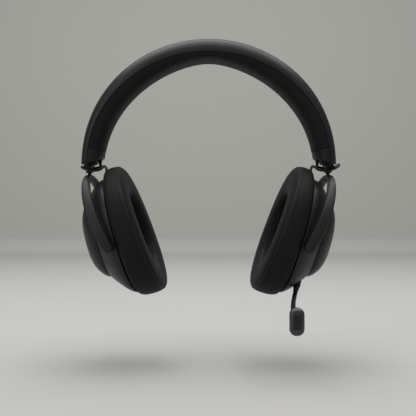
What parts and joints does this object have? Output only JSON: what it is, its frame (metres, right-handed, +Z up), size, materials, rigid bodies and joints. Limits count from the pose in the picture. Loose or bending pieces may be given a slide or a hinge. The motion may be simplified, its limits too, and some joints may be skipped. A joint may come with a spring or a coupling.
{
  "type": "gaming headset",
  "caption": "Over-ear wireless headset: padded arched headband, sliding and swivelling yokes, tilting closed cups with oval pads, boom microphone below the left cup.",
  "frame": {"origin": "underside of the headband pad at the top of the arch", "axes": "+Z up, the front faces -Y, +X towards the wearer's left cup"},
  "size_m": [0.2163, 0.1405, 0.2327],
  "materials": {
    "satin_plastic": "satin near-black plastic",
    "matte_plastic": "matte black plastic",
    "leatherette": "black leatherette over foam",
    "steel": "plain steel",
    "cable_jacket": "smooth black cable jacket",
    "cloth": "black acoustic cloth",
    "film": "grey film",
    "board": "circuit board"
  },
  "bodies": {
    "headband": {"headband_cover": "satin_plastic", "headband_frame": "matte_plastic", "headband_spring": "steel", "headband_pad": "leatherette", "left_end_cap": "satin_plastic", "left_slider_guide": "matte_plastic", "left_upper_gland": "cable_jacket", "right_end_cap": "satin_plastic", "right_slider_guide": "matte_plastic", "right_upper_gland": "cable_jacket"},
    "left_slider": {"left_slider": "satin_plastic", "left_swivel_clip": "steel", "left_lead": "cable_jacket"},
    "left_yoke": {"left_yoke": "satin_plastic", "left_front_pivot_pin": "steel", "left_rear_pivot_pin": "steel"},
    "left_cup": {"left_housing": "satin_plastic", "left_outer_cap": "satin_plastic", "left_baffle": "matte_plastic", "left_driver_frame": "matte_plastic", "left_diaphragm": "film", "left_driver_magnet": "steel", "left_scrim": "cloth", "left_ear_pad": "leatherette", "left_lower_gland": "cable_jacket", "circuit_board": "board", "charging_port": "steel", "mic_socket": "matte_plastic"},
    "right_slider": {"right_slider": "satin_plastic", "right_swivel_clip": "steel", "right_lead": "cable_jacket"},
    "right_yoke": {"right_yoke": "satin_plastic", "right_front_pivot_pin": "steel", "right_rear_pivot_pin": "steel"},
    "right_cup": {"right_housing": "satin_plastic", "right_outer_cap": "satin_plastic", "right_baffle": "matte_plastic", "right_driver_frame": "matte_plastic", "right_diaphragm": "film", "right_driver_magnet": "steel", "right_scrim": "cloth", "right_ear_pad": "leatherette", "right_lower_gland": "cable_jacket", "battery": "film"},
    "volume_wheel": {"volume_wheel": "matte_plastic"},
    "power_button": {"power_button": "matte_plastic"},
    "mute_button": {"mute_button": "matte_plastic"},
    "microphone": {"mic_plug": "matte_plastic", "mic_boom": "cable_jacket", "mic_body": "matte_plastic", "mic_grille": "cloth"}
  },
  "joints": [
    {"name": "left_slide", "type": "slide", "parent": "headband", "child": "left_slider", "axis": [0, 0, -1], "range_m": [0, 0.02], "deforming": ["left_lead"]},
    {"name": "left_swivel", "type": "hinge", "parent": "left_slider", "child": "left_yoke", "pos_m": [0.0993, 0, -0.0927], "axis": [0, 0, -1], "range_deg": [-6.5, 93.5], "deforming": ["left_lead"]},
    {"name": "left_tilt", "type": "hinge", "parent": "left_yoke", "child": "left_cup", "pos_m": [0.07544, -0.00146, -0.15259], "axis": [0.061, -0.9981, 0], "range_deg": [-4, 12], "deforming": ["left_lead"]},
    {"name": "right_slide", "type": "slide", "parent": "headband", "child": "right_slider", "axis": [0, 0, -1], "range_m": [0, 0.02], "deforming": ["right_lead"]},
    {"name": "right_swivel", "type": "hinge", "parent": "right_slider", "child": "right_yoke", "pos_m": [-0.0993, 0, -0.0927], "axis": [0, 0, 1], "range_deg": [-6.5, 93.5], "deforming": ["right_lead"]},
    {"name": "right_tilt", "type": "hinge", "parent": "right_yoke", "child": "right_cup", "pos_m": [-0.07544, -0.00146, -0.15259], "axis": [0.061, 0.9981, 0], "range_deg": [-4, 12], "deforming": ["right_lead"]},
    {"name": "volume_turn", "type": "hinge", "parent": "left_cup", "child": "volume_wheel", "pos_m": [0.06957, 0.02995, -0.16451], "axis": [0.9595, 0.0587, -0.2756], "continuous": true},
    {"name": "power_press", "type": "slide", "parent": "left_cup", "child": "power_button", "axis": [-0.5689, -0.2984, 0.7664], "range_m": [0, 0.0008], "stiffness_N_per_m": 800},
    {"name": "mute_press", "type": "slide", "parent": "left_cup", "child": "mute_button", "axis": [-0.5783, -0.4729, 0.6648], "range_m": [0, 0.0008], "stiffness_N_per_m": 800},
    {"name": "microphone_pull", "type": "slide", "parent": "left_cup", "child": "microphone", "axis": [-0.2311, -0.3961, -0.8887], "range_m": [0, 0.012]}
  ]
}
